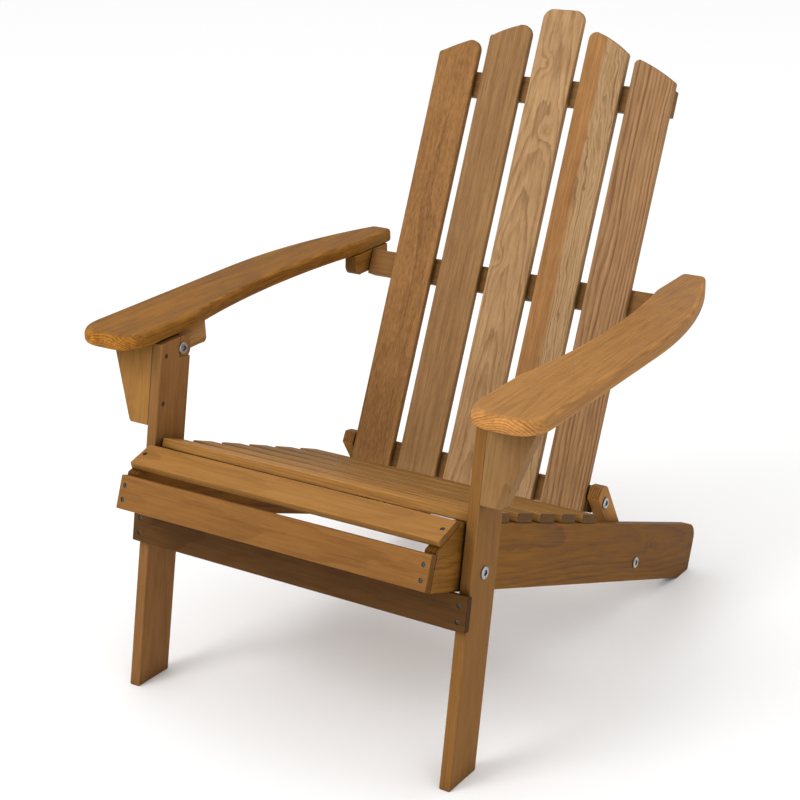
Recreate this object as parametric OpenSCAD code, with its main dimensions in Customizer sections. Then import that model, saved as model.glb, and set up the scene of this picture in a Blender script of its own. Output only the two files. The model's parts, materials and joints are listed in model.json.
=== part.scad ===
// Folding wooden garden lounge chair: sloping slatted seat, stepped back, broad arms.
// Millimetres. Origin on the ground at mid footprint, +Z up, front of the chair towards -Y.
// Left and right are as seen from the front: left is -X, right is +X.
// Two solids of one body touch; solids of different bodies keep a gap of 0.3 or more.

/* [Seat rails] */
// slope of the rails, falling to the rear, degrees
rail_slope = 20.18; // [19.5:0.01:20.8]
// thickness of a rail board
rail_t = 20; // [16:0.5:20]
// height of a rail board, square to its slope
rail_h = 92.4; // [84:0.2:96]
// inner face of the right rail
rail_x = 237.5; // [237.5:0.1:238]
// length of the rail behind the leg pivot
rail_rear = 793; // [770:1:800]
// length of the rail in front of the leg pivot
rail_front = 98.1; // [94:0.1:100]
// distance of the rail bottom below the pivot line
rail_below = 30.2; // [29:0.1:30.5]
// radius of the top rear corner
rail_corner_r = 26; // [10:1:34]

/* [Seat] */
// half length of a seat slat
seat_half = 257.2; // [250:0.1:257.5]
// width of a seat slat
seat_slat_w = 47; // [40:0.5:52]
// thickness of a seat slat
seat_slat_t = 13.5; // [10:0.5:15]
// distance from one slat to the next
seat_pitch = 71.4; // [66:0.1:73]
// front edge of the first sloping slat, along the rail from the leg pivot
seat_first = -33; // [-36:0.5:-28]
// width of the rounded front slat
front_slat_w = 46.4; // [40:0.2:50]
// thickness of the front slat
front_slat_t = 11; // [9:0.5:12]
// rise of the front slat over the rail slope, degrees
front_slat_rise = 36.38; // [34:0.01:38]
// height of the apron board
apron_h = 48.3; // [44:0.1:50]
// thickness of the apron board
apron_t = 12.3; // [10:0.1:14]

/* [Legs] */
// backward lean of the legs, degrees
leg_lean = 9.9; // [9.5:0.05:10.2]
// thickness of a leg board
leg_t = 17; // [15:0.5:17]
// width of a leg board, square to its lean
leg_w = 67.1; // [64:0.1:67.4]
// inner face of the right leg
leg_x = 260.5; // [260.5:0.1:261]
// front edge of the feet on the ground
foot_front = -408.7; // [-410:0.1:-407]
// height of the front brace
brace_low = 224.5; // [200:0.5:240]
// thickness of the front brace
brace_t = 12; // [10:0.5:14]
// half length of the front brace
brace_half = 281.5; // [278:0.5:290]
// depth of an arm bracket behind the leg's front edge
bracket_d = 20; // [14:0.5:20.5]
// width of an arm bracket at its lower end
bracket_low_w = 34; // [25:1:40]
// width of an arm bracket under the arm
bracket_top_w = 75; // [60:1:85]
// lower end of an arm bracket, along the leg
bracket_low = 395; // [370:1:420]

/* [Back] */
// backward tilt of the back, degrees
back_tilt = 23.41; // [22.5:0.01:24]
// width of a back slat
back_slat_w = 73; // [68:0.2:73.2]
// thickness of a back slat
back_slat_t = 12; // [10:0.5:12]
// distance between slat centre lines
back_pitch = 88.2; // [88.2:0.1:89]
// lower end of the slats, along the back from its datum
back_low = -425; // [-428:1:-421]
// top of the middle slat
back_top = 353.7; // [330:0.1:370]
// drop of the next slat's top below the middle one
back_step = 29.7; // [20:0.1:40]
// drop of the outer slat's top below the next one
back_step_outer = 32; // [20:0.1:40]
// thickness of the top batten
batten_top_t = 13; // [10:0.5:16]
// thickness of the middle and lower battens
batten_t = 25; // [22:0.5:25]
// height of a batten
batten_h = 42; // [38:0.2:43]
// half length of the middle batten
batten_mid_half = 266; // [262:0.1:266]
// half length of the lower batten
batten_low_half = 215; // [213:0.1:215]

/* [Arms] */
// rise of the arms to the rear, degrees
arm_rise = 1.89; // [1.7:0.01:2]
// thickness of an arm board
arm_t = 22; // [18:0.5:25]
// inner edge of the right arm
arm_in = 267.5; // [267:0.1:267.5]
// outer edge of the right arm
arm_out = 376; // [360:0.5:385]
// overhang in front of the arm pivot
arm_front = 104; // [95:1:115]
// length behind the arm pivot
arm_rear = 574; // [568:1:578]
// radius of the front corners
arm_corner_r = 40; // [25:1:45]
// radius of the inner rear corner
arm_rear_r = 7; // [4:1:12]
// radius of the outer edge towards the rear
arm_sweep_r = 779; // [740:1:900]
// radius of the scooped inner edge
arm_scoop_r = 1220; // [1150:5:1400]
// deepest point of the inner scoop
arm_scoop_x = 287; // [280:0.5:287]
// height of the cleats under an arm
cleat_h = 34; // [33:0.5:38]
// thickness of a cleat
cleat_t = 19.5; // [17:0.5:20]

/* [Links and bolts] */
// thickness of a back link
link_t = 20.5; // [18:0.5:20.5]
// outer face of the right link
link_x = 237; // [236.5:0.1:237]
// radius of a pivot bolt's shank
bolt_r = 4; // [3:0.1:4.5]
// radius of a pivot bolt's head
bolt_head_r = 9; // [8:0.2:10]
// height of a pivot bolt's head
bolt_head_h = 2.3; // [1.8:0.1:2.3]
// corner radius of the hex socket in a pivot bolt's head
socket_r = 4.6; // [2.5:0.1:5]

/* [Hidden] */
// leg pivot, arm pivot, link pivot and back pivot as [y, z]
leg_pivot = [-326, 288.5];
arm_pivot = [-274, 491];
link_pivot = [117.5, 221.5];
back_pivot = [238.5, 505];
// distance from the leg pivot to the link's bolt, along the rail
link_bolt_u = 554;
// datum of the back: front face of the slats
back_datum = [253, 600];
// distance from the arm pivot up to the arm's underside
arm_drop = 19.3;
// radial running clearance of a pivot bolt in the part that turns on it
run_fit = 0.08;
// gap between touching faces of different bodies
gap = 0.5;
// rail top and bottom, square to the rail from the pivot line
rail_top = rail_h - rail_below;
rail_foot = -rail_below;
// where the rail's front slope meets its front end
front_low = rail_top - (rail_front - 46.2) * tan(front_slat_rise);
// arched tops of the back slats, middle ones first: centre of the arch outwards from the
// slat's inner edge and up from its highest point, its radius, inner and outer corner radius
arch_2 = [-27.6, -187, 193, 17, 6];
arch_4 = [-38.1, -174.6, 182, 12, 6];
arch_1 = [-113.3, -368.1, 392, 17, 6];
arch_5 = [-90.1, -293.4, 310, 8, 6];
// corner radius of the middle slat
crown_r = 17;
// the two right slats of the back stand this much lower than the left ones
right_trim = [2, 9];
// screws
screw_r = 1.8;
screw_head_r = 3.2;
screw_hole_r = 3.5;
screw_sink = 1.2;
screw_head_h = 2;
screw_len = 30;
// offsets of paired screws from the middle of a board
apron_screw_n = 10.2;
brace_screw_n = 11.2;
reach = 900;
$fn = 48;
smooth_fn = 360;

wood_seat = [0.72, 0.42, 0.2];
wood_frame = [0.5, 0.29, 0.15];
wood_back = [0.62, 0.36, 0.18];
zinc = [0.75, 0.75, 0.76];
steel_dark = [0.3, 0.31, 0.29];

// a [y, z] outline made into a board lying between x0 and x0 + t
module board(x0, t) {
  translate([x0, 0, 0]) rotate([90, 0, 90]) linear_extrude(t) children();
}

// round bar along X
module bar_x(x0, x1, r) {
  translate([x0, 0, 0]) rotate([0, 90, 0]) cylinder(h = x1 - x0, r = r);
}

// the part on the left is the right one mirrored
module on_side(side) {
  mirror([side < 0 ? 1 : 0, 0, 0]) children();
}

module both_sides() {
  on_side(1) children();
  on_side(-1) children();
}

module at(p) {
  translate([0, p[0], p[1]]) children();
}

// frame along the rails: y runs down the slope, z is square to it
module rail_frame() {
  at(leg_pivot) rotate([-rail_slope, 0, 0]) children();
}

// frame on the legs' front edges: z runs up the leg, y is square to it
module leg_frame() {
  translate([0, foot_front, 0]) rotate([-leg_lean, 0, 0]) children();
}

// frame on the back: z runs up the slats, y is square to their front faces
module back_frame() {
  at(back_datum) rotate([-back_tilt, 0, 0]) children();
}

// frame under the arms: y runs rearward from the arm pivot, z = 0 is the underside
module arm_frame() {
  at(arm_pivot) rotate([arm_rise, 0, 0]) translate([0, 0, arm_drop]) children();
}

// everything below the arms' undersides, less the gap
module below_arms() {
  arm_frame() translate([-reach, -reach, -reach - gap]) cube([2 * reach, 2 * reach, reach]);
}

// flat pivot bolt head with a hex socket, standing on x0 and facing dir
module bolt_head(x0, dir) {
  translate([x0, 0, 0]) rotate([0, 90 * dir, 0]) difference() {
    union() {
      cylinder(h = bolt_head_h - 0.8, r = bolt_head_r);
      translate([0, 0, bolt_head_h - 0.8])
        cylinder(h = 0.8, r1 = bolt_head_r, r2 = bolt_head_r - 0.8);
    }
    translate([0, 0, 0.8]) cylinder(h = bolt_head_h, r = socket_r, $fn = 6);
  }
}

// countersunk hole for a screw driven along +Y from y = 0
module screw_hole() {
  rotate([-90, 0, 0]) {
    translate([0, 0, -1]) cylinder(h = 1 + screw_sink + screw_head_h, r = screw_hole_r);
    cylinder(h = screw_len, r = screw_r);
  }
}

module screw() {
  rotate([-90, 0, 0]) translate([0, 0, screw_sink]) difference() {
    union() {
      cylinder(h = screw_head_h, r = screw_head_r);
      cylinder(h = screw_len - screw_sink - 1, r = screw_r);
    }
    translate([0, 0, -1]) cylinder(h = 2, r = 1.3, $fn = 6);
  }
}

// ---- seat frame ----

module rail_outline() {
  translate([rail_front * -1, rail_foot]) square([rail_front + 1, front_low - rail_foot]);
  polygon([[-rail_front, rail_foot], [rail_rear - rail_corner_r, rail_foot],
    [rail_rear - rail_corner_r, rail_top], [-46.2, rail_top], [-rail_front, front_low]]);
  translate([rail_rear - rail_corner_r - 1, rail_foot])
    square([rail_corner_r + 1, rail_h - rail_corner_r]);
  translate([rail_rear - rail_corner_r, rail_top - rail_corner_r]) circle(rail_corner_r);
}

module apron_screw_places() {
  rail_frame() translate([0, -rail_front - apron_t, rail_foot + 1.4 + apron_h / 2])
    both_sides() for (n = [-1, 1])
      translate([rail_x + rail_t / 2, 0, n * apron_screw_n]) children();
}

module front_slat_frame() {
  rail_frame() translate([0, -rail_front, front_low]) rotate([front_slat_rise, 0, 0])
    translate([0, 7.9, 0]) children();
}

module front_slat_screw_places() {
  front_slat_frame() both_sides() translate([rail_x + rail_t / 2, 24, front_slat_t])
    rotate([-90, 0, 0]) children();
}

module rail(side) {
  color(wood_frame) difference() {
    intersection() {
      rail_frame() on_side(side) difference() {
        board(rail_x, rail_t) rail_outline();
        bar_x(rail_x - 5, rail_x + rail_t + 5, bolt_r + run_fit);
        translate([0, link_bolt_u, 0]) bar_x(rail_x - 5, rail_x + rail_t + 5, bolt_r);
      }
      translate([-reach, -reach, 0]) cube([2 * reach, 2 * reach, reach]);
    }
    apron_screw_places() screw_hole();
    front_slat_screw_places() screw_hole();
  }
}

module apron() {
  color(wood_frame) difference() {
    rail_frame() translate([-seat_half, -rail_front - apron_t, rail_foot + 1.4])
      cube([2 * seat_half, apron_t, apron_h]);
    apron_screw_places() screw_hole();
  }
}

module front_slat() {
  color(wood_seat) difference() {
    front_slat_frame() translate([-seat_half + 0.4, 0, 0])
      cube([2 * (seat_half - 0.4), front_slat_w, front_slat_t]);
    front_slat_screw_places() screw_hole();
  }
}

// i = 0 is the frontmost sloping slat
module seat_slat(i) {
  color(wood_seat) rail_frame()
    translate([-seat_half, seat_first + i * seat_pitch, rail_top])
      cube([2 * seat_half, seat_slat_w, seat_slat_t]);
}

module rail_bolts() {
  color(zinc) rail_frame() translate([0, link_bolt_u, 0]) both_sides() {
    bolt_head(rail_x + rail_t, 1);
    bar_x(rail_x + 2, rail_x + rail_t + 0.1, bolt_r);
  }
}

// ---- legs ----

module brace_screw_places() {
  leg_frame() translate([0, -brace_t, brace_low + 25]) both_sides() for (n = [-1, 1])
    translate([leg_x + leg_t / 2, 0, n * brace_screw_n]) children();
}

module bracket_screw_places() {
  leg_frame() both_sides() for (n = [0, 1])
    translate([leg_x, 12, 428 + n * 70]) rotate([0, 0, -90]) children();
}

module leg(side) {
  color(wood_frame) difference() {
    intersection() {
      union() {
        on_side(side) leg_frame() translate([leg_x, 0, -20]) cube([leg_t, leg_w, 515]);
        on_side(side) leg_frame() translate([leg_x, 0, 0])
          cube([leg_t, leg_w - 25, 600]);
        on_side(side) at(arm_pivot) bar_x(leg_x, leg_x + leg_t, 18.8);
      }
      below_arms();
      translate([-reach, -reach, 0]) cube([2 * reach, 2 * reach, reach]);
    }
    at(leg_pivot) bar_x(-reach, reach, bolt_r);
    at(arm_pivot) bar_x(-reach, reach, bolt_r);
    brace_screw_places() screw_hole();
    bracket_screw_places() screw_hole();
  }
}

module brace() {
  color(wood_frame) difference() {
    intersection() {
      leg_frame() translate([-brace_half, -brace_t, brace_low])
        cube([2 * brace_half, brace_t, 60]);
      rail_frame() translate([-reach, -reach, rail_foot - gap - reach])
        cube([2 * reach, 2 * reach, reach]);
    }
    brace_screw_places() screw_hole();
  }
}

module bracket(side) {
  low_x = leg_x + leg_t;
  top_w = bracket_low + (bracket_top_w - bracket_low_w) * 2.936;
  color(wood_frame) difference() {
    intersection() {
      on_side(side) leg_frame() rotate([90, 0, 0]) translate([0, 0, -bracket_d])
        linear_extrude(bracket_d)
          polygon([[low_x, bracket_low], [low_x + bracket_low_w - 3, bracket_low],
            [low_x + bracket_low_w, bracket_low + 3], [low_x + bracket_top_w, top_w],
            [low_x + bracket_top_w, top_w + 60], [low_x, top_w + 60]]);
      below_arms();
    }
    bracket_screw_places() screw_hole();
  }
}

module leg_bolts() {
  color(zinc) at(leg_pivot) both_sides() {
    bolt_head(leg_x + leg_t, 1);
    bar_x(rail_x + 3, leg_x + leg_t + 0.1, bolt_r);
  }
}

module leg_washers() {
  color(zinc) at(leg_pivot) both_sides() difference() {
    bar_x(rail_x + rail_t + 0.4, leg_x, 11);
    bar_x(rail_x + rail_t, leg_x + 1, bolt_r);
  }
}

module arm_bolts() {
  color(zinc) at(arm_pivot) both_sides() {
    bolt_head(leg_x, -1);
    bar_x(leg_x - 0.1, leg_x + leg_t + gap + cleat_t - 3, bolt_r);
  }
}

// ---- links ----

module link(side) {
  // the link's own frame: y from its pivot on the back to its bolt on the rail
  run = 146.1;
  front_w = 12;
  rear_w = 20.5;
  end_r = (front_w + rear_w) / 2;
  color(wood_frame) on_side(side) at(link_pivot) rotate([-58.43, 0, 0]) difference() {
    board(link_x - link_t, link_t) union() {
      polygon([[-21.4, -front_w], [run, -front_w], [run, rear_w], [-14, rear_w],
        [-19.6, rear_w - 2], [-31, 5.2], [-26.3, -4]]);
      translate([run, rear_w - end_r]) circle(end_r);
    }
    bar_x(link_x - link_t - 1, link_x + 1, bolt_r + run_fit);
    translate([0, run, 0]) bar_x(link_x - link_t - 1, link_x + 1, bolt_r + run_fit);
  }
}

// ---- back ----

// upright slat from x0 with a round top given by its children
module slat_board(x0) {
  rotate([90, 0, 0]) translate([0, 0, -back_slat_t]) linear_extrude(back_slat_t) hull() {
    translate([x0, back_low]) square([back_slat_w, 10]);
    children();
  }
}

// arched top of the slat from x0, running into a rounded corner on either side
module arched_top(x0, top, arch) {
  c = [x0 + arch[0], top + arch[1]];
  r = arch[2];
  corners = [[x0 + arch[3], arch[3]], [x0 + back_slat_w - arch[4], arch[4]]];
  // where the arch meets each corner's circle
  meet = [for (k = corners) c[0] + (k[0] - c[0]) * r / (r - k[1])];
  for (k = corners)
    translate([k[0], c[1] + sqrt(pow(r - k[1], 2) - pow(k[0] - c[0], 2))])
      circle(k[1], $fn = 40);
  intersection() {
    translate(c) circle(r, $fn = smooth_fn);
    translate([meet[0], top - 100]) square([meet[1] - meet[0], 200]);
  }
}

module back_slat_middle() {
  x0 = -back_slat_w / 2;
  color(wood_back) back_frame() slat_board(x0)
    for (x = [x0 + crown_r, x0 + back_slat_w - crown_r])
      translate([x, back_top - crown_r]) circle(crown_r, $fn = 40);
}

// k = 1 is next to the middle slat and 2 the outer one; drop is how far its top stands below
module back_slat(k, side, drop, arch) {
  x0 = k * back_pitch - back_slat_w / 2;
  color(wood_back) back_frame() on_side(side) slat_board(x0)
    arched_top(x0, back_top - drop, arch);
}

module batten_top() {
  color(wood_frame) back_frame()
    translate([-213, back_slat_t, 201]) cube([426, batten_top_t, batten_h]);
}

module batten_mid() {
  color(wood_frame) difference() {
    back_frame() translate([-batten_mid_half, back_slat_t, -93.1 - batten_h / 2])
      cube([2 * batten_mid_half, batten_t, batten_h]);
    at(back_pivot) both_sides() bar_x(batten_mid_half - 40, reach, bolt_r + run_fit);
  }
}

module batten_low() {
  color(wood_frame) difference() {
    back_frame() translate([-batten_low_half, back_slat_t, -400 - batten_h / 2])
      cube([2 * batten_low_half, batten_t, batten_h]);
    at(link_pivot) both_sides() bar_x(batten_low_half - 40, reach, bolt_r);
  }
}

module link_bolts() {
  color(zinc) at(link_pivot) both_sides() {
    bolt_head(link_x + 0.4, 1);
    bar_x(batten_low_half - 38, link_x + gap, bolt_r);
  }
}

// ---- arms ----

module arm_plan() {
  len = arm_front + arm_rear;
  w = arm_out - arm_in;
  difference() {
    intersection() {
      union() {
        translate([arm_in, -arm_front + arm_corner_r])
          square([w, len - arm_corner_r - arm_rear_r]);
        translate([arm_in + arm_rear_r, arm_rear - arm_rear_r - 1])
          square([w - arm_rear_r, arm_rear_r + 1]);
        translate([arm_in + arm_rear_r, arm_rear - arm_rear_r]) circle(arm_rear_r);
        translate([arm_in + arm_corner_r, -arm_front])
          square([w - 2 * arm_corner_r, arm_corner_r + 1]);
        for (x = [arm_in + arm_corner_r, arm_out - arm_corner_r])
          translate([x, -arm_front + arm_corner_r]) circle(arm_corner_r);
      }
      union() {
        translate([arm_out - arm_sweep_r, 250]) circle(arm_sweep_r, $fn = smooth_fn);
        translate([0, -arm_front]) square([arm_out, arm_front + 250]);
      }
    }
    translate([arm_scoop_x - arm_scoop_r, 260]) circle(arm_scoop_r, $fn = smooth_fn);
  }
}

// side view of the arm with its rounded ends
module arm_side() {
  top_r = 13;
  low_r = 8;
  rear_r = 16;
  translate([-arm_front + top_r, 0])
    square([arm_front + arm_rear - top_r - rear_r, arm_t]);
  translate([-arm_front, low_r]) square([top_r + 1, arm_t - top_r - low_r]);
  translate([-arm_front + top_r, arm_t - top_r]) circle(top_r);
  translate([-arm_front + low_r, low_r]) circle(low_r);
  translate([-arm_front + low_r, 0]) square([top_r, low_r + 1]);
  translate([arm_rear - rear_r - 1, 0]) square([rear_r + 1, arm_t - rear_r]);
  translate([arm_rear - rear_r, arm_t - rear_r]) circle(rear_r);
}

module arm(side) {
  color(wood_seat) on_side(side) arm_frame() intersection() {
    linear_extrude(arm_t) arm_plan();
    board(arm_in - 20, arm_out - arm_in + 40) arm_side();
  }
}

module front_cleat(side) {
  corner_r = 8;
  nose_r = 26;
  tail = 76;
  color(wood_frame) on_side(side) difference() {
    arm_frame() board(leg_x + leg_t + gap, cleat_t) union() {
      translate([0, -cleat_h + corner_r]) square([tail, cleat_h - corner_r]);
      translate([0, -cleat_h]) square([tail - corner_r, cleat_h]);
      translate([tail - corner_r, -cleat_h + corner_r]) circle(corner_r);
      intersection() {
        translate([0, -arm_drop]) circle(nose_r);
        translate([-nose_r, -cleat_h]) square([nose_r + 1, cleat_h]);
      }
    }
    at(arm_pivot) bar_x(0, reach, bolt_r + run_fit);
  }
}

module rear_cleat(side) {
  corner_r = 15;
  from = 459.5;
  to = 558;
  color(wood_frame) on_side(side) difference() {
    arm_frame() board(batten_mid_half + 1.5, cleat_t + 1) union() {
      translate([from, -cleat_h + corner_r]) square([to - from, cleat_h - corner_r]);
      translate([from + corner_r, -cleat_h]) square([to - from - corner_r, cleat_h]);
      translate([from + corner_r, -cleat_h + corner_r]) circle(corner_r);
    }
    at(back_pivot) bar_x(0, reach, bolt_r);
  }
}

module back_bolt(side) {
  face = batten_mid_half + 1.5 + cleat_t + 1;
  color(zinc) on_side(side) at(back_pivot) {
    bolt_head(face, 1);
    bar_x(batten_mid_half - 38, face + 0.1, bolt_r);
  }
}

rail(-1);  // rail_l
rail(1);  // rail_r
apron();
front_slat();  // seat_slat_1
seat_slat(0);  // seat_slat_2
seat_slat(1);  // seat_slat_3
seat_slat(2);  // seat_slat_4
seat_slat(3);  // seat_slat_5
seat_slat(4);  // seat_slat_6
seat_slat(5);  // seat_slat_7
color(steel_dark) apron_screw_places() screw();  // apron_screws
color(steel_dark) front_slat_screw_places() screw();  // front_slat_screws
rail_bolts();
leg(-1);  // leg_l
leg(1);  // leg_r
brace();
bracket(-1);  // bracket_l
bracket(1);  // bracket_r
color(steel_dark) brace_screw_places() screw();  // brace_screws
color(steel_dark) bracket_screw_places() screw();  // bracket_screws
leg_bolts();
leg_washers();
arm_bolts();
link(-1);  // link_l
link(1);  // link_r
back_slat(2, -1, back_step + back_step_outer, arch_1);  // back_slat_1
back_slat(1, -1, back_step, arch_2);  // back_slat_2
back_slat_middle();  // back_slat_3
back_slat(1, 1, back_step + right_trim[0], arch_4);  // back_slat_4
back_slat(2, 1, back_step + back_step_outer + right_trim[1], arch_5);  // back_slat_5
batten_top();
batten_mid();
batten_low();
link_bolts();
arm(-1);  // arm_l
arm(1);  // arm_r
front_cleat(-1);  // front_cleat_l
front_cleat(1);  // front_cleat_r
rear_cleat(-1);  // rear_cleat_l
rear_cleat(1);  // rear_cleat_r
back_bolt(-1);  // back_bolt_l
back_bolt(1);  // back_bolt_r
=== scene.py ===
import json
import math

import bmesh
import bpy
from mathutils import Matrix, Vector


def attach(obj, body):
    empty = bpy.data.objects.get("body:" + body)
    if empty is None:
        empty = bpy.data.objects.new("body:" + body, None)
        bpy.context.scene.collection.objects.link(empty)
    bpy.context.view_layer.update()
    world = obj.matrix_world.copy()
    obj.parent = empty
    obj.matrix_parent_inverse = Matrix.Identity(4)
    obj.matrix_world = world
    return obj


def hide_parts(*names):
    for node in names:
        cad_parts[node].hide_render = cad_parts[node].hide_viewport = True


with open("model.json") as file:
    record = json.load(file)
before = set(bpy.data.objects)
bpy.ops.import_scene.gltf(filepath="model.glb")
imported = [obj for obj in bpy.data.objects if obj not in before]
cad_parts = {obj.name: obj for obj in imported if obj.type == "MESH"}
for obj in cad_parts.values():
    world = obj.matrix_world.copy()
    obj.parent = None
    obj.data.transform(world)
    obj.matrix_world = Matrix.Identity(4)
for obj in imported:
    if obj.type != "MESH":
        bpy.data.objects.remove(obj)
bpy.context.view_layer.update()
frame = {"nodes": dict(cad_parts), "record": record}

nodes = frame["nodes"]
record = frame["record"]
slot_of = {part["node"]: part["material_slot"] for part in record["subparts"]}
body_of = {name: body for body, names in record["behaviour"]["bodies"].items() for name in names}
link_to_scene = bpy.context.scene.collection.objects.link

# ---------------------------------------------------------------- camera
CAMERA_AT = Vector((1.3055, -2.1391, 1.2579))
CAMERA_LOOK = Vector((-0.50815, 0.79516, -0.33091))
CAMERA_LENS = 78.5
CAMERA_SENSOR = 36.0

camera_data = bpy.data.cameras.new("camera")
camera_data.lens = CAMERA_LENS
camera_data.sensor_width = CAMERA_SENSOR
camera = bpy.data.objects.new("camera", camera_data)
camera.location = CAMERA_AT
camera.rotation_euler = CAMERA_LOOK.to_track_quat("-Z", "Y").to_euler()
link_to_scene(camera)
bpy.context.scene.camera = camera
bpy.context.scene.view_settings.view_transform = "Standard"


# ---------------------------------------------------------------- shader graph helper
class Graph:
    """Short names for the shader nodes used below."""

    def __init__(self, tree):
        self.tree = tree

    def node(self, kind, **settings):
        made = self.tree.nodes.new(kind)
        for key, value in settings.items():
            setattr(made, key, value)
        return made

    def put(self, socket, value):
        if isinstance(value, bpy.types.NodeSocket):
            self.tree.links.new(value, socket)
        else:
            socket.default_value = value

    def math(self, operation, a, b=0.0, clamp=False):
        made = self.node("ShaderNodeMath", operation=operation, use_clamp=clamp)
        self.put(made.inputs[0], a)
        self.put(made.inputs[1], b)
        return made.outputs[0]

    def add(self, a, b):
        return self.math("ADD", a, b)

    def less(self, a, b):
        return self.math("SUBTRACT", a, b)

    def times(self, a, b, clamp=False):
        return self.math("MULTIPLY", a, b, clamp)

    def swing(self, value, amount):
        """A value between 0 and 1, moved to lie about zero and scaled."""
        return self.times(self.less(value, 0.5), amount)

    def vector(self, operation, a, b=(0.0, 0.0, 0.0)):
        made = self.node("ShaderNodeVectorMath", operation=operation)
        self.put(made.inputs[0], a)
        self.put(made.inputs[1], b)
        return made.outputs["Value" if operation in ("DOT_PRODUCT", "LENGTH") else "Vector"]

    def noise(self, place, scale=1.0, detail=2.0, rough=0.5):
        made = self.node("ShaderNodeTexNoise")
        self.put(made.inputs["Vector"], place)
        made.inputs["Scale"].default_value = scale
        made.inputs["Detail"].default_value = detail
        made.inputs["Roughness"].default_value = rough
        return made.outputs["Fac"]

    def step(self, value, low, high, to_low=0.0, to_high=1.0):
        made = self.node("ShaderNodeMapRange", interpolation_type="SMOOTHSTEP")
        for socket, given in zip(made.inputs, (value, low, high, to_low, to_high)):
            self.put(socket, given)
        return made.outputs[0]

    def mix(self, factor, a, b, blend="MIX"):
        """The colour sockets of a mix node are its inputs 6 and 7 and its output 2."""
        made = self.node("ShaderNodeMix", data_type="RGBA", blend_type=blend)
        self.put(made.inputs[0], factor)
        self.put(made.inputs[6], a)
        self.put(made.inputs[7], b)
        return made.outputs[2]

    def stained(self, color, stain, factor=1.0):
        """The colour multiplied by a stain, as far as factor says."""
        if not isinstance(stain, bpy.types.NodeSocket):
            stain = (*stain, 1.0)
        return self.mix(factor, color, stain, "MULTIPLY")

    def apart(self, place):
        made = self.node("ShaderNodeSeparateXYZ")
        self.put(made.inputs[0], place)
        return made.outputs[0], made.outputs[1], made.outputs[2]

    def join(self, x, y, z=0.0):
        made = self.node("ShaderNodeCombineXYZ")
        for socket, value in zip(made.inputs, (x, y, z)):
            self.put(socket, value)
        return made.outputs[0]

    def open_air(self, distance):
        """1 on open faces, less in corners and joints closer than distance."""
        made = self.node("ShaderNodeAmbientOcclusion", samples=6)
        made.inputs["Distance"].default_value = distance
        return made.outputs["AO"]

    def bumped(self, height, strength, distance):
        made = self.node("ShaderNodeBump")
        made.inputs["Strength"].default_value = strength
        made.inputs["Distance"].default_value = distance
        self.put(made.inputs["Height"], height)
        return made.outputs["Normal"]


# ---------------------------------------------------------------- wood, in board space
# x runs along the grain, y across the board and z through its thickness, all in metres
WOOD_FLOATS = {
    "seed": 0.0,        # which piece of timber
    "pith_y": 0.0,      # where the tree's centre lay, across and under the board
    "pith_z": -0.05,
    "tilt_y": 0.0,      # how far the board was sawn askew of the tree
    "tilt_z": 0.03,
    "spacing": 0.004,   # between two rings
    "warp": 0.004,      # how far slow waves bend the rings, and how close they follow
    "wave": 1.0,
    "ripple": 0.0016,   # how far small ripples bend the rings
    "ring": 0.55,       # how dark the rings, fibres, blotches and flecks are
    "fibre": 0.5,
    "blotch": 0.4,
    "fleck": 0.0,
    "band": 0.0,        # contrast of paler sapwood along one edge
    "fade": 0.0,        # painted shade: darkening per metre along the board, standing in for light falling off towards one end
}
KNOTS = ("knot_1", "knot_2", "knot_3")
NO_KNOT = (9.0, 9.0, 0.001)
# cycles per metre along and across the grain, detail, roughness
WOOD_NOISES = {
    "ripple": (26.0, 85.0, 2.0, 0.5),
    "fibre": (9.0, 420.0, 4.0, 0.62),
    "thread": (18.0, 230.0, 3.0, 0.6),
    "streak": (1.6, 75.0, 2.0, 0.5),
    "blotch": (3.2, 11.0, 3.0, 0.5),
    "mottle": (14.0, 40.0, 3.0, 0.55),
    "pore": (38.0, 1150.0, 1.0, 0.5),
    "fleck": (85.0, 330.0, 2.0, 0.6),
}
SEED_SHIFT = (1.7, 0.31, 0.73)
WAVES = (3.0, 13.0, 13.0)
SECOND_WARP_SHIFT = (7.1, 3.3, 5.9)
WARP_GAIN = 4.0
KNOT_SLIM = 0.6
KNOT_REACH = 3.4
KNOT_SWELL = 2.4
KNOT_DARK = 0.8
BASE_SHADE = 0.3
PORE_SHADE = 0.2
HEARTWOOD_STAIN = (1.1, 0.9, 0.66)


def core_tree():
    """The wood group with its inputs and outputs, still empty inside."""
    tree = bpy.data.node_groups.new("wood_core", "ShaderNodeTree")

    def socket(name, way, kind):
        return tree.interface.new_socket(name, in_out=way, socket_type="NodeSocket" + kind)

    socket("p", "INPUT", "Vector")
    for name, value in WOOD_FLOATS.items():
        socket(name, "INPUT", "Float").default_value = value
    for name in ("light", "dark"):
        socket(name, "INPUT", "Color")
    for name in KNOTS:
        socket(name, "INPUT", "Vector")
    socket("color", "OUTPUT", "Color")
    for name in ("height", "shade", "late"):
        socket(name, "OUTPUT", "Float")
    return tree


def ring_radius(g, given, p, ripple):
    """Distance from the pith, bent by slow waves and small ripples."""
    x, y, z = g.apart(given["p"])
    slow = g.vector("MULTIPLY", p, g.join(*(g.times(given["wave"], often) for often in WAVES)))
    warps = (g.noise(slow), g.noise(g.vector("ADD", slow, SECOND_WARP_SHIFT)))
    sides = []
    for value, pith, tilt, warp in zip((y, z), ("pith_y", "pith_z"), ("tilt_y", "tilt_z"), warps):
        straight = g.add(g.less(value, given[pith]), g.times(x, given[tilt]))
        sides.append(g.add(straight, g.times(g.swing(warp, given["warp"]), WARP_GAIN)))
    return g.add(g.vector("LENGTH", g.join(*sides)), g.swing(ripple, given["ripple"]))


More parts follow.
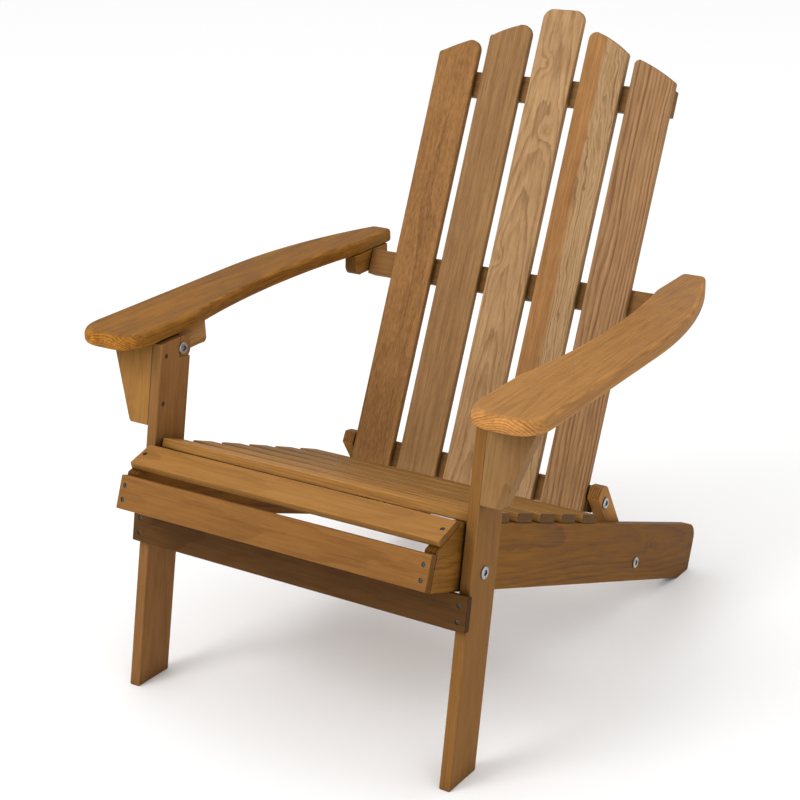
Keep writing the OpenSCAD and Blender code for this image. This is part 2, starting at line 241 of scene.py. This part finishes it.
def with_knots(g, given, radius):
    """The radius where rings swell round each knot, and the darkness of the knots."""
    x, y, _ = g.apart(given["p"])
    core = 0.0
    for name in KNOTS:
        along, across, size = g.apart(given[name])
        away = g.join(g.times(g.less(x, along), KNOT_SLIM), g.less(y, across))
        near = g.math("DIVIDE", g.vector("LENGTH", away), g.math("MAXIMUM", size, 0.0001))
        spread = g.math("POWER", g.math("DIVIDE", near, KNOT_REACH), 2.0)
        bulge = g.math("EXPONENT", g.times(spread, -1.0))
        radius = g.add(radius, g.times(bulge, g.times(size, KNOT_SWELL)))
        core = g.math("MAXIMUM", core, g.times(g.step(near, 1.25, 0.5), KNOT_DARK))
    return radius, core


def late_wood(g, given, radius):
    """The dark end of each year's ring, darker in some years than in others."""
    turns = g.math("DIVIDE", radius, given["spacing"])
    phase = g.math("FRACT", turns)
    year = g.node("ShaderNodeTexWhiteNoise", noise_dimensions="1D")
    g.put(year.inputs["W"], g.add(g.math("FLOOR", turns), given["seed"]))
    late = g.times(g.step(phase, 0.3, 0.9), g.step(phase, 1.0, 0.93))
    return g.times(late, g.add(g.times(year.outputs["Value"], 0.7), 0.4))


def build_wood_core():
    """Growth rings about a pith, with fibres, pores, flecks and knots."""
    g = Graph(core_tree())
    given = g.node("NodeGroupInput").outputs
    x, y, _ = g.apart(given["p"])
    p = g.vector("ADD", given["p"], g.join(*(g.times(given["seed"], far) for far in SEED_SHIFT)))
    noise = {name: g.noise(g.vector("MULTIPLY", p, (along, across, across)), 1.0, detail, rough)
             for name, (along, across, detail, rough) in WOOD_NOISES.items()}
    radius, core = with_knots(g, given, ring_radius(g, given, p, noise["ripple"]))
    fibre = g.step(noise["fibre"], 0.38, 0.62)
    thread = g.step(noise["thread"], 0.36, 0.64)
    pore = g.step(noise["pore"], 0.6, 0.72)
    # one edge of a board can be cut from paler sapwood, which alone shows its rings
    band = g.step(g.add(y, g.swing(noise["streak"], 0.03)), -0.005, 0.005)
    heart = g.times(g.less(1.0, band), g.times(given["band"], 1.3), clamp=True)
    late = g.times(late_wood(g, given, radius), g.less(1.0, heart))

    shade = g.times(late, given["ring"])
    swings = ((fibre, "fibre", 0.5), (thread, "fibre", 0.42), (noise["streak"], "fibre", 1.1),
              (noise["blotch"], "blotch", 1.2), (noise["mottle"], "blotch", 1.1),
              (noise["fleck"], "fleck", 1.5), (band, "band", -0.6))
    for value, amount, gain in swings:
        shade = g.add(shade, g.times(g.swing(value, gain), given[amount]))
    shade = g.add(shade, g.times(pore, PORE_SHADE))
    # painted shade: the colour darkens along the grain, standing in for light that falls off towards one
    # end of the board
    shade = g.add(shade, g.times(x, given["fade"]))
    shade = g.math("MAXIMUM", g.add(shade, BASE_SHADE), core, clamp=True)

    plain = g.mix(shade, given["light"], given["dark"])
    height = g.add(g.times(fibre, 0.6), g.times(late, 0.25))
    out = g.node("NodeGroupOutput")
    g.put(out.inputs["color"], g.stained(plain, HEARTWOOD_STAIN, heart))
    g.put(out.inputs["height"], g.less(height, g.times(pore, 0.5)))
    g.put(out.inputs["shade"], shade)
    g.put(out.inputs["late"], late)
    return g.tree


WOOD_CORE = build_wood_core()

# ---------------------------------------------------------------- wood material
# tint of the painted highlight on rounded rims
RIM_HIGHLIGHT_TINT = (1.32, 1.28, 1.2)
END_LINE_STAIN = (0.45, 0.38, 0.3)
END_LINE_STRENGTH = 0.75
END_TONE = 0.62
# strongest painted highlight on rounded rims, unless a board gives its own
RIM_HIGHLIGHT_MAX = 0.4
# reach of the ambient occlusion that paints contact shade into the wood's colour
WOOD_SHADE_REACH = 0.045
WOOD_IOR = 1.42
WOOD_SPECULAR = 0.08
WOOD_BUMP = 0.35
WOOD_BUMP_DEPTH = 0.0005


def board_space(g, axes, centre, coords):
    """Object coordinates turned and moved into board space."""
    turn = Matrix(axes)
    place = g.node("ShaderNodeMapping")
    place.inputs["Rotation"].default_value = turn.to_euler()
    place.inputs["Location"].default_value = -(turn @ centre)
    g.put(place.inputs["Vector"], coords)
    return place.outputs["Vector"]


def wood_core_node(g, place, look):
    core = g.node("ShaderNodeGroup", node_tree=WOOD_CORE)
    g.put(core.inputs["p"], place)
    for key, value in WOOD_FLOATS.items():
        core.inputs[key].default_value = look.get(key, value)
    for key in ("light", "dark"):
        core.inputs[key].default_value = (*look[key], 1.0)
    knots = list(look.get("knots", ()))
    for name, knot in zip(KNOTS, knots + [NO_KNOT] * len(KNOTS)):
        core.inputs[name].default_value = knot
    return core


def paint_rim_highlight(g, color, place, wear):
    """Painted highlight: rounded edges are lightened a little, in patches, where light would catch them.
    """
    rim = g.node("ShaderNodeAttribute", attribute_name="rim").outputs["Fac"]
    patches = g.noise(g.vector("MULTIPLY", place, (30.0, 90.0, 90.0)))
    return g.stained(color, RIM_HIGHLIGHT_TINT, g.times(rim, g.step(patches, 0.35, 0.7, 0.08, wear)))


def oil_ends(g, color, normal, grain, late, tone):
    """Sawn ends take up more oil and show the rings as dark lines."""
    end = g.step(g.math("ABSOLUTE", g.vector("DOT_PRODUCT", normal, tuple(grain))), 0.3, 0.7)
    color = g.stained(color, (tone, tone * 0.96, tone * 0.9), end)
    return g.stained(color, END_LINE_STAIN, g.times(g.times(end, late), END_LINE_STRENGTH))


def paint_contact_shade(g, color):
    """Painted shade: joints and narrow gaps, where contact shadows fall, are darkened and browned from
    ambient occlusion.
    """
    # from 0.35 in the deepest painted shade to 1 in the open; blue falls faster, so the painted shade is
    # browner
    unshaded = g.step(g.open_air(WOOD_SHADE_REACH), 0.1, 0.9, 0.35, 1.0)
    return g.stained(color, g.join(unshaded, unshaded, g.math("POWER", unshaded, 1.35)))


def wood_material(name, axes, centre, look):
    """Wood for one board: axes are its grain, width and thickness directions."""
    mat = bpy.data.materials.new(name)
    mat.use_nodes = True
    g = Graph(mat.node_tree)
    shader = mat.node_tree.nodes["Principled BSDF"]
    coords = g.node("ShaderNodeTexCoord").outputs
    place = board_space(g, axes, centre, coords["Object"])
    core = wood_core_node(g, place, look)
    # rounded rims get a painted highlight
    color = paint_rim_highlight(g, core.outputs["color"], place, look.get("wear", RIM_HIGHLIGHT_MAX))
    color = oil_ends(g, color, coords["Normal"], axes[0], core.outputs["late"], look.get("end", END_TONE))
    # painted contact shade in joints and gaps is multiplied into the base colour
    g.put(shader.inputs["Base Color"], paint_contact_shade(g, color))
    g.put(shader.inputs["Roughness"], g.step(core.outputs["shade"], 0.0, 1.0, 0.62, 0.44))
    g.put(shader.inputs["Normal"], g.bumped(core.outputs["height"], WOOD_BUMP, WOOD_BUMP_DEPTH))
    shader.inputs["IOR"].default_value = WOOD_IOR
    shader.inputs["Specular IOR Level"].default_value = WOOD_SPECULAR
    return mat


# ---------------------------------------------------------------- boards
FLAT = math.radians(0.4)
SHARP = math.radians(24)
CREASE = math.radians(38)
SHORTEST_EDGE = 0.0015
BEVEL_STEPS = 3


def cad_shape(node):
    """The CAD node's solid with its triangles merged back into flat faces."""
    bm = bmesh.new()
    bm.from_mesh(nodes[node].data)
    bmesh.ops.remove_doubles(bm, verts=bm.verts, dist=1e-5)
    bmesh.ops.dissolve_limit(bm, angle_limit=FLAT, verts=bm.verts, edges=bm.edges)
    bm.normal_update()
    return bm


def forwards(direction):
    """The same line, turned so that its largest part is positive."""
    return -direction if max(direction, key=abs) < 0 else direction


def board_axes(bm):
    """Grain along the longest edge, thickness along the normal of the largest face."""
    edge = max(bm.edges, key=lambda e: e.calc_length())
    grain = forwards((edge.verts[1].co - edge.verts[0].co).normalized())
    wide = max((f for f in bm.faces if abs(f.normal.dot(grain)) < 0.3), key=lambda f: f.calc_area())
    thick = forwards((wide.normal - wide.normal.dot(grain) * grain).normalized())
    return grain, thick.cross(grain), thick


def reach(bm, axis):
    """The lowest and the highest place of the solid along an axis."""
    places = [v.co.dot(axis) for v in bm.verts]
    return min(places), max(places)


def middle(bm, axes):
    return sum((axis * sum(reach(bm, axis)) / 2 for axis in axes), Vector())


def add_board(node, bm, axes, centre, look):
    """Makes the shape in bm the wooden piece that stands for a CAD node."""
    for f in bm.faces:
        f.smooth = True
    for e in bm.edges:
        e.smooth = not (e.is_manifold and abs(e.calc_face_angle(0.0)) > CREASE)
    mesh = bpy.data.meshes.new("wood_" + node)
    bm.to_mesh(mesh)
    bm.free()
    mesh.materials.append(wood_material("wood_" + node, axes, centre, look))
    piece = bpy.data.objects.new("wood_" + node, mesh)
    link_to_scene(piece)
    piece.modifiers.new("flat_faces", "WEIGHTED_NORMAL").keep_sharp = True
    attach(piece, body_of[node])
    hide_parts(node)


def ease_board(node, look, ease, clamp):
    """A board over its CAD solid, with eased edges and its own wood."""
    bm = cad_shape(node)
    axes = board_axes(bm)
    centre = middle(bm, axes)
    rim = bm.faces.layers.float.new("rim")
    edges = [e for e in bm.edges if e.is_manifold and e.calc_face_angle_signed(0.0) > SHARP
             and e.calc_length() > SHORTEST_EDGE]
    made = bmesh.ops.bevel(bm, geom=edges, offset=ease, offset_type="OFFSET", segments=BEVEL_STEPS,
                           profile=0.5, affect="EDGES", clamp_overlap=clamp)
    for f in made["faces"]:
        f[rim] = 1.0
    add_board(node, bm, axes, centre, look)


# ---------------------------------------------------------------- arms
PLAN_LEVEL = 0.0085     # height above the arm's underside where its outline is taken
PLAN_STEP = 0.0035      # distance between two points of the outline
PLAN_PASSES = 2         # times that the outline is smoothed
NOSE_LENGTH = 0.05      # the radii grow from the sides' to the nose's over this length
TOP_SIDE_R = 0.0062
TOP_NOSE_R = 0.0125
FOOT_SIDE_R = 0.0045
FOOT_NOSE_R = 0.0075
ARC_STEPS = 6


def plan_of(bm, up, level):
    """The closed outline where the solid is cut square to up at the given height."""
    cut = bmesh.ops.bisect_plane(bm, geom=bm.verts[:] + bm.edges[:] + bm.faces[:],
                                 plane_co=up * level, plane_no=up)
    near = {}
    for e in cut["geom_cut"]:
        if isinstance(e, bmesh.types.BMEdge):
            for v in e.verts:
                near.setdefault(v, []).append(e.other_vert(v))
    loop = [next(iter(near))]
    last = None
    while True:
        ahead = next(v for v in near[loop[-1]] if v is not last)
        if ahead is loop[0]:
            return [v.co.copy() for v in loop]
        last = loop[-1]
        loop.append(ahead)


def evened(points, step):
    """Points at an even distance along a closed outline, its facets smoothed away."""
    ends = points[1:] + points[:1]
    total = sum((b - a).length for a, b in zip(points, ends))
    count = round(total / step)
    made = []
    walked = 0.0
    due = 0.0
    for a, b in zip(points, ends):
        span = (b - a).length
        while due < walked + span and len(made) < count:
            made.append(a.lerp(b, (due - walked) / span))
            due += total / count
        walked += span
    for _ in range(PLAN_PASSES):
        made = [(made[i - 1] + 2 * made[i] + made[(i + 1) % count]) / 4 for i in range(count)]
    return made


def winding(points, up):
    """1 where the outline runs anticlockwise seen from above, else -1."""
    mid = sum(points, Vector()) / len(points)
    ahead = points[1:] + points[:1]
    turn = sum((a - mid).cross(b - mid).dot(up) for a, b in zip(points, ahead))
    return 1.0 if turn > 0 else -1.0


def rim_column(flat, inward, up, low, high, nose):
    """The arm's section at one point of its outline, from the underside to the top."""
    top = TOP_SIDE_R + (TOP_NOSE_R - TOP_SIDE_R) * nose
    foot = FOOT_SIDE_R + (FOOT_NOSE_R - FOOT_SIDE_R) * nose
    angles = [math.pi / 2 * k / ARC_STEPS for k in range(ARC_STEPS + 1)]
    under = [flat + inward * foot * (1 - math.sin(a)) + up * (low + foot * (1 - math.cos(a)))
             for a in angles]
    over = [flat + inward * top * (1 - math.cos(a)) + up * (high - top + top * math.sin(a))
            for a in angles]
    return under + over


def round_arm(node, look):
    """An arm with a rounded rim: full at its nose, smaller along its sides."""
    bm = cad_shape(node)
    axes = board_axes(bm)
    centre = middle(bm, axes)
    grain, _, up = axes
    low, high = reach(bm, up)
    front = reach(bm, grain)[0]
    points = evened(plan_of(bm, up, low + PLAN_LEVEL), PLAN_STEP)
    bm.free()
    count = len(points)
    side = winding(points, up)
    bm = bmesh.new()
    rim = bm.faces.layers.float.new("rim")
    columns = []
    for i, point in enumerate(points):
        inward = up.cross(points[(i + 1) % count] - points[i - 1]).normalized() * side
        nose = min(1.0, max(0.0, 1.0 - (point.dot(grain) - front) / NOSE_LENGTH))
        flat = point - up * point.dot(up)
        columns.append([bm.verts.new(place) for place in rim_column(flat, inward, up, low, high, nose)])
    for here, there in zip(columns, columns[1:] + columns[:1]):
        for k in range(len(here) - 1):
            face = bm.faces.new((here[k], there[k], there[k + 1], here[k + 1]))
            face[rim] = 0.0 if k == ARC_STEPS else 1.0
    bm.faces.new([column[0] for column in columns])
    bm.faces.new([column[-1] for column in columns])
    bmesh.ops.recalc_face_normals(bm, faces=bm.faces)
    add_board(node, bm, axes, centre, look)


# ---------------------------------------------------------------- each board's wood
def wood(light, dark, **rest):
    """Early and late wood colours, then whatever differs from WOOD_FLOATS."""
    return dict(light=light, dark=dark, **rest)


# painted shade: the seat slats' colours darken from slat 2 to slat 3 and are darkest on slats 4 to 7,
# standing in for less light towards the rear
SEAT_TONES = {2: ((0.43, 0.211, 0.056), (0.232, 0.099, 0.023)),
              3: ((0.37, 0.184, 0.051), (0.2, 0.086, 0.021))}
SHADED_REAR_SEAT_TONES = ((0.306, 0.156, 0.045), (0.166, 0.073, 0.019))
BATTEN_TONES = ((0.276, 0.134, 0.043), (0.143, 0.061, 0.018))
LINK_TONES = ((0.429, 0.201, 0.049), (0.221, 0.094, 0.022))
FRONT_CLEAT_TONES = ((0.4, 0.216, 0.077), (0.2, 0.092, 0.029))
REAR_CLEAT_TONES = ((0.304, 0.137, 0.026), (0.152, 0.059, 0.01))

# along-the-grain painted shade: the right arm and right rail darken towards the rear, the right leg
# upwards, and the left leg lightens upwards
LOOKS = {
    "back_slat_1": wood((0.329, 0.162, 0.055), (0.155, 0.066, 0.021), seed=1.0, pith_z=-0.09,
                        tilt_z=0.02, spacing=0.0045, warp=0.006, wave=1.6, ring=0.3, fibre=0.35,
                        fleck=0.95, blotch=0.35),
    "back_slat_2": wood((0.326, 0.179, 0.073), (0.179, 0.087, 0.032), seed=2.0, pith_z=-0.2,
                        pith_y=0.1, tilt_z=0.01, spacing=0.006, ring=0.25, fibre=0.7, fleck=0.35,
                        blotch=0.35),
    "back_slat_3": wood((0.469, 0.283, 0.134), (0.244, 0.132, 0.055), seed=3.0, pith_z=-0.05,
                        tilt_z=0.055, spacing=0.0046, warp=0.005, wave=1.2, ripple=0.004, ring=0.5,
                        fibre=0.45, fleck=0.3, blotch=0.75,
                        knots=((0.19, 0.012, 0.0035), (-0.02, -0.02, 0.003), (0.3, -0.012, 0.003))),
    "back_slat_4": wood((0.41, 0.254, 0.126), (0.18, 0.092, 0.034), seed=4.0, pith_z=-0.045,
                        pith_y=-0.02, tilt_z=0.055, spacing=0.0034, warp=0.005, wave=1.8,
                        ripple=0.009, ring=0.62, fibre=0.45, band=0.75, blotch=0.4, fleck=0.2),
    "back_slat_5": wood((0.382, 0.213, 0.098), (0.171, 0.083, 0.033), seed=5.0, pith_z=-0.11,
                        pith_y=-0.06, tilt_z=0.006, tilt_y=0.004, spacing=0.0036, warp=0.0035,
                        ring=0.7, fibre=0.6, blotch=0.3),
    # the arms' rounded rims carry a strong painted highlight
    "arm_l": wood((0.266, 0.116, 0.019), (0.127, 0.048, 0.007), seed=6.0, pith_z=-0.07, tilt_z=0.03,
                  spacing=0.0034, warp=0.005, ring=0.3, fibre=0.8, fleck=0.3, blotch=0.8, end=1.45,
                  wear=0.9),
    "arm_r": wood((0.367, 0.179, 0.054), (0.234, 0.103, 0.027), seed=7.0, pith_z=-0.06,
                  tilt_z=0.035, fade=0.7, spacing=0.0034, warp=0.006, ring=0.35, fibre=0.7,
                  fleck=0.2, blotch=0.55, end=1.3, wear=0.9),
    "seat_slat_1": wood((0.362, 0.173, 0.046), (0.196, 0.081, 0.019), seed=8.0, pith_z=-0.08,
                        tilt_z=0.02, spacing=0.0045, ring=0.3, fibre=0.35, blotch=0.3),
    "apron": wood((0.267, 0.119, 0.031), (0.139, 0.055, 0.013), seed=9.0, pith_z=-0.09,
                  tilt_z=0.015, ring=0.3, fibre=0.35, blotch=0.35),
    # painted shade: the brace's colours are darkened to stand for the shadow that the apron casts on it
    "brace": wood((0.114, 0.051, 0.014), (0.057, 0.023, 0.006), seed=10.0, pith_z=-0.12, ring=0.3,
                  fibre=0.4, blotch=0.4),
    "rail_r": wood((0.22, 0.093, 0.014), (0.099, 0.037, 0.005), seed=11.0, pith_z=-0.09,
                   pith_y=0.03, tilt_z=0.02, fade=0.35, spacing=0.0045, ripple=0.003, ring=0.5,
                   blotch=0.3, knots=((0.26, 0.012, 0.003),)),
    "rail_l": wood((0.22, 0.09, 0.012), (0.114, 0.041, 0.005), seed=12.0, pith_z=-0.06, tilt_z=0.02,
                   spacing=0.0055, warp=0.006, ring=0.6),
    "leg_r": wood((0.247, 0.115, 0.03), (0.15, 0.062, 0.014), seed=13.0, pith_z=-0.1, fade=0.35,
                  ring=0.25, blotch=0.35),
    "leg_l": wood((0.266, 0.126, 0.041), (0.158, 0.069, 0.02), seed=14.0, pith_z=-0.09, fade=-0.7,
                  ring=0.25, blotch=0.35),
    "bracket_l": wood((0.347, 0.17, 0.045), (0.204, 0.089, 0.021), seed=15.0, ring=0.25, fibre=0.4,
                      blotch=0.5, knots=((-0.05, 0.004, 0.003),)),
    "bracket_r": wood((0.304, 0.168, 0.065), (0.166, 0.078, 0.025), seed=16.0, ring=0.35, fibre=0.4,
                      blotch=0.5),
    "batten_low": wood(*BATTEN_TONES, seed=48.0, ring=0.35, fibre=0.4),
    "batten_mid": wood(*BATTEN_TONES, seed=49.0, ring=0.35, fibre=0.4),
    "batten_top": wood((0.364, 0.183, 0.071), (0.188, 0.083, 0.03), seed=50.0, ring=0.35, fibre=0.4),
    "link_l": wood(*LINK_TONES, seed=68.0, ring=0.4),
    "link_r": wood(*LINK_TONES, seed=69.0, ring=0.4),
    "front_cleat_l": wood(*FRONT_CLEAT_TONES, seed=74.0, ring=0.35),
    "front_cleat_r": wood(*FRONT_CLEAT_TONES, seed=75.0, ring=0.35),
    "rear_cleat_l": wood(*REAR_CLEAT_TONES, seed=82.0, ring=0.35),
    "rear_cleat_r": wood(*REAR_CLEAT_TONES, seed=83.0, ring=0.35),
}
# the seat slats' timbers have their pith at three depths and five places across
for n in range(2, 8):
    LOOKS["seat_slat_%d" % n] = wood(*SEAT_TONES.get(n, SHADED_REAR_SEAT_TONES), seed=43.0 + n,
                                     pith_z=-0.05 - 0.02 * ((n + 2) % 3),
                                     pith_y=0.02 * ((n + 3) % 5 - 2),
                                     tilt_z=0.02, ring=0.35, blotch=0.45, end=0.45)

BOARD_EASE = 0.0018
LINK_EASE = 0.0015
BACK_SLAT_EASE = 0.0028

for node in sorted(LOOKS):
    if node.startswith("arm"):
        round_arm(node, LOOKS[node])
    elif node.startswith("back_slat"):
        ease_board(node, LOOKS[node], BACK_SLAT_EASE, clamp=False)
    elif node.startswith("link"):
        ease_board(node, LOOKS[node], LINK_EASE, clamp=False)
    else:
        ease_board(node, LOOKS[node], BOARD_EASE, clamp=node.startswith("bracket"))

# ---------------------------------------------------------------- metal
# reach of the ambient occlusion that paints shade into the metal's sockets and corners
METAL_SHADE_REACH = 0.006
METAL_BUMP = 0.3
METAL_BUMP_DEPTH = 0.0002


def metal_material(name, base, rough, metallic):
    """Plated steel, cloudy and a little scratched, with painted shade in its sockets and corners."""
    mat = bpy.data.materials.new(name)
    mat.use_nodes = True
    g = Graph(mat.node_tree)
    shader = mat.node_tree.nodes["Principled BSDF"]
    coords = g.node("ShaderNodeTexCoord").outputs["Object"]
    cloud = g.noise(coords, 260.0, 3.0)
    scratches = g.noise(coords, 1500.0, 2.0)
    dull = tuple(part * 0.6 for part in base)
    color = g.mix(g.step(cloud, 0.4, 0.7), (*base, 1.0), (*dull, 1.0))
    # painted shade: sockets and corners are darkened from ambient occlusion, standing in for their shadow
    unshaded = g.step(g.open_air(METAL_SHADE_REACH), 0.45, 1.0, 0.03, 1.0)
    g.put(shader.inputs["Base Color"], g.stained(color, g.join(unshaded, unshaded, unshaded)))
    g.put(shader.inputs["Roughness"], g.step(scratches, 0.3, 0.7, rough, rough + 0.2))
    g.put(shader.inputs["Normal"], g.bumped(cloud, METAL_BUMP, METAL_BUMP_DEPTH))
    shader.inputs["Metallic"].default_value = metallic
    return mat


METALS = {"zinc": metal_material("zinc", (0.44, 0.45, 0.45), rough=0.3, metallic=1.0),
          "dark_screw": metal_material("dark_screw", (0.2, 0.2, 0.17), rough=0.42, metallic=0.85)}
for node in nodes:
    if slot_of[node] in METALS:
        for slot in nodes[node].material_slots:
            slot.material = METALS[slot_of[node]]

# ---------------------------------------------------------------- floor and light
FLOOR_HALF = 16.0
FLOOR_CELLS = 8
FLOOR_COLOR = (0.93, 0.93, 0.93, 1.0)
FLOOR_ROUGH = 0.9
WORLD_STRENGTH = 0.4
LIGHTS_AIM = Vector((0.0, 0.0, 0.4))


def lay_floor():
    mesh = bpy.data.meshes.new("floor")
    bm = bmesh.new()
    bmesh.ops.create_grid(bm, x_segments=FLOOR_CELLS, y_segments=FLOOR_CELLS, size=FLOOR_HALF)
    bm.to_mesh(mesh)
    bm.free()
    mat = bpy.data.materials.new("floor")
    mat.use_nodes = True
    shader = mat.node_tree.nodes["Principled BSDF"]
    shader.inputs["Base Color"].default_value = FLOOR_COLOR
    shader.inputs["Roughness"].default_value = FLOOR_ROUGH
    mesh.materials.append(mat)
    floor = bpy.data.objects.new("floor", mesh)
    link_to_scene(floor)


def light_world():
    world = bpy.data.worlds.new("studio")
    bpy.context.scene.world = world
    world.use_nodes = True
    background = world.node_tree.nodes["Background"]
    background.inputs["Color"].default_value = (1.0, 1.0, 1.0, 1.0)
    background.inputs["Strength"].default_value = WORLD_STRENGTH


def area_light(name, at, power, size):
    data = bpy.data.lights.new(name, "AREA")
    data.energy = power
    data.size = size
    lamp = bpy.data.objects.new(name, data)
    lamp.location = at
    lamp.rotation_euler = (LIGHTS_AIM - Vector(at)).to_track_quat("-Z", "Y").to_euler()
    link_to_scene(lamp)


lay_floor()
light_world()
area_light("key", (-1.4, -2.8, 3.0), power=55.0, size=1.6)
area_light("ceiling", (0.0, 0.0, 6.0), power=3600.0, size=40.0)
area_light("fill", (2.6, -2.2, 1.2), power=8.0, size=1.6)
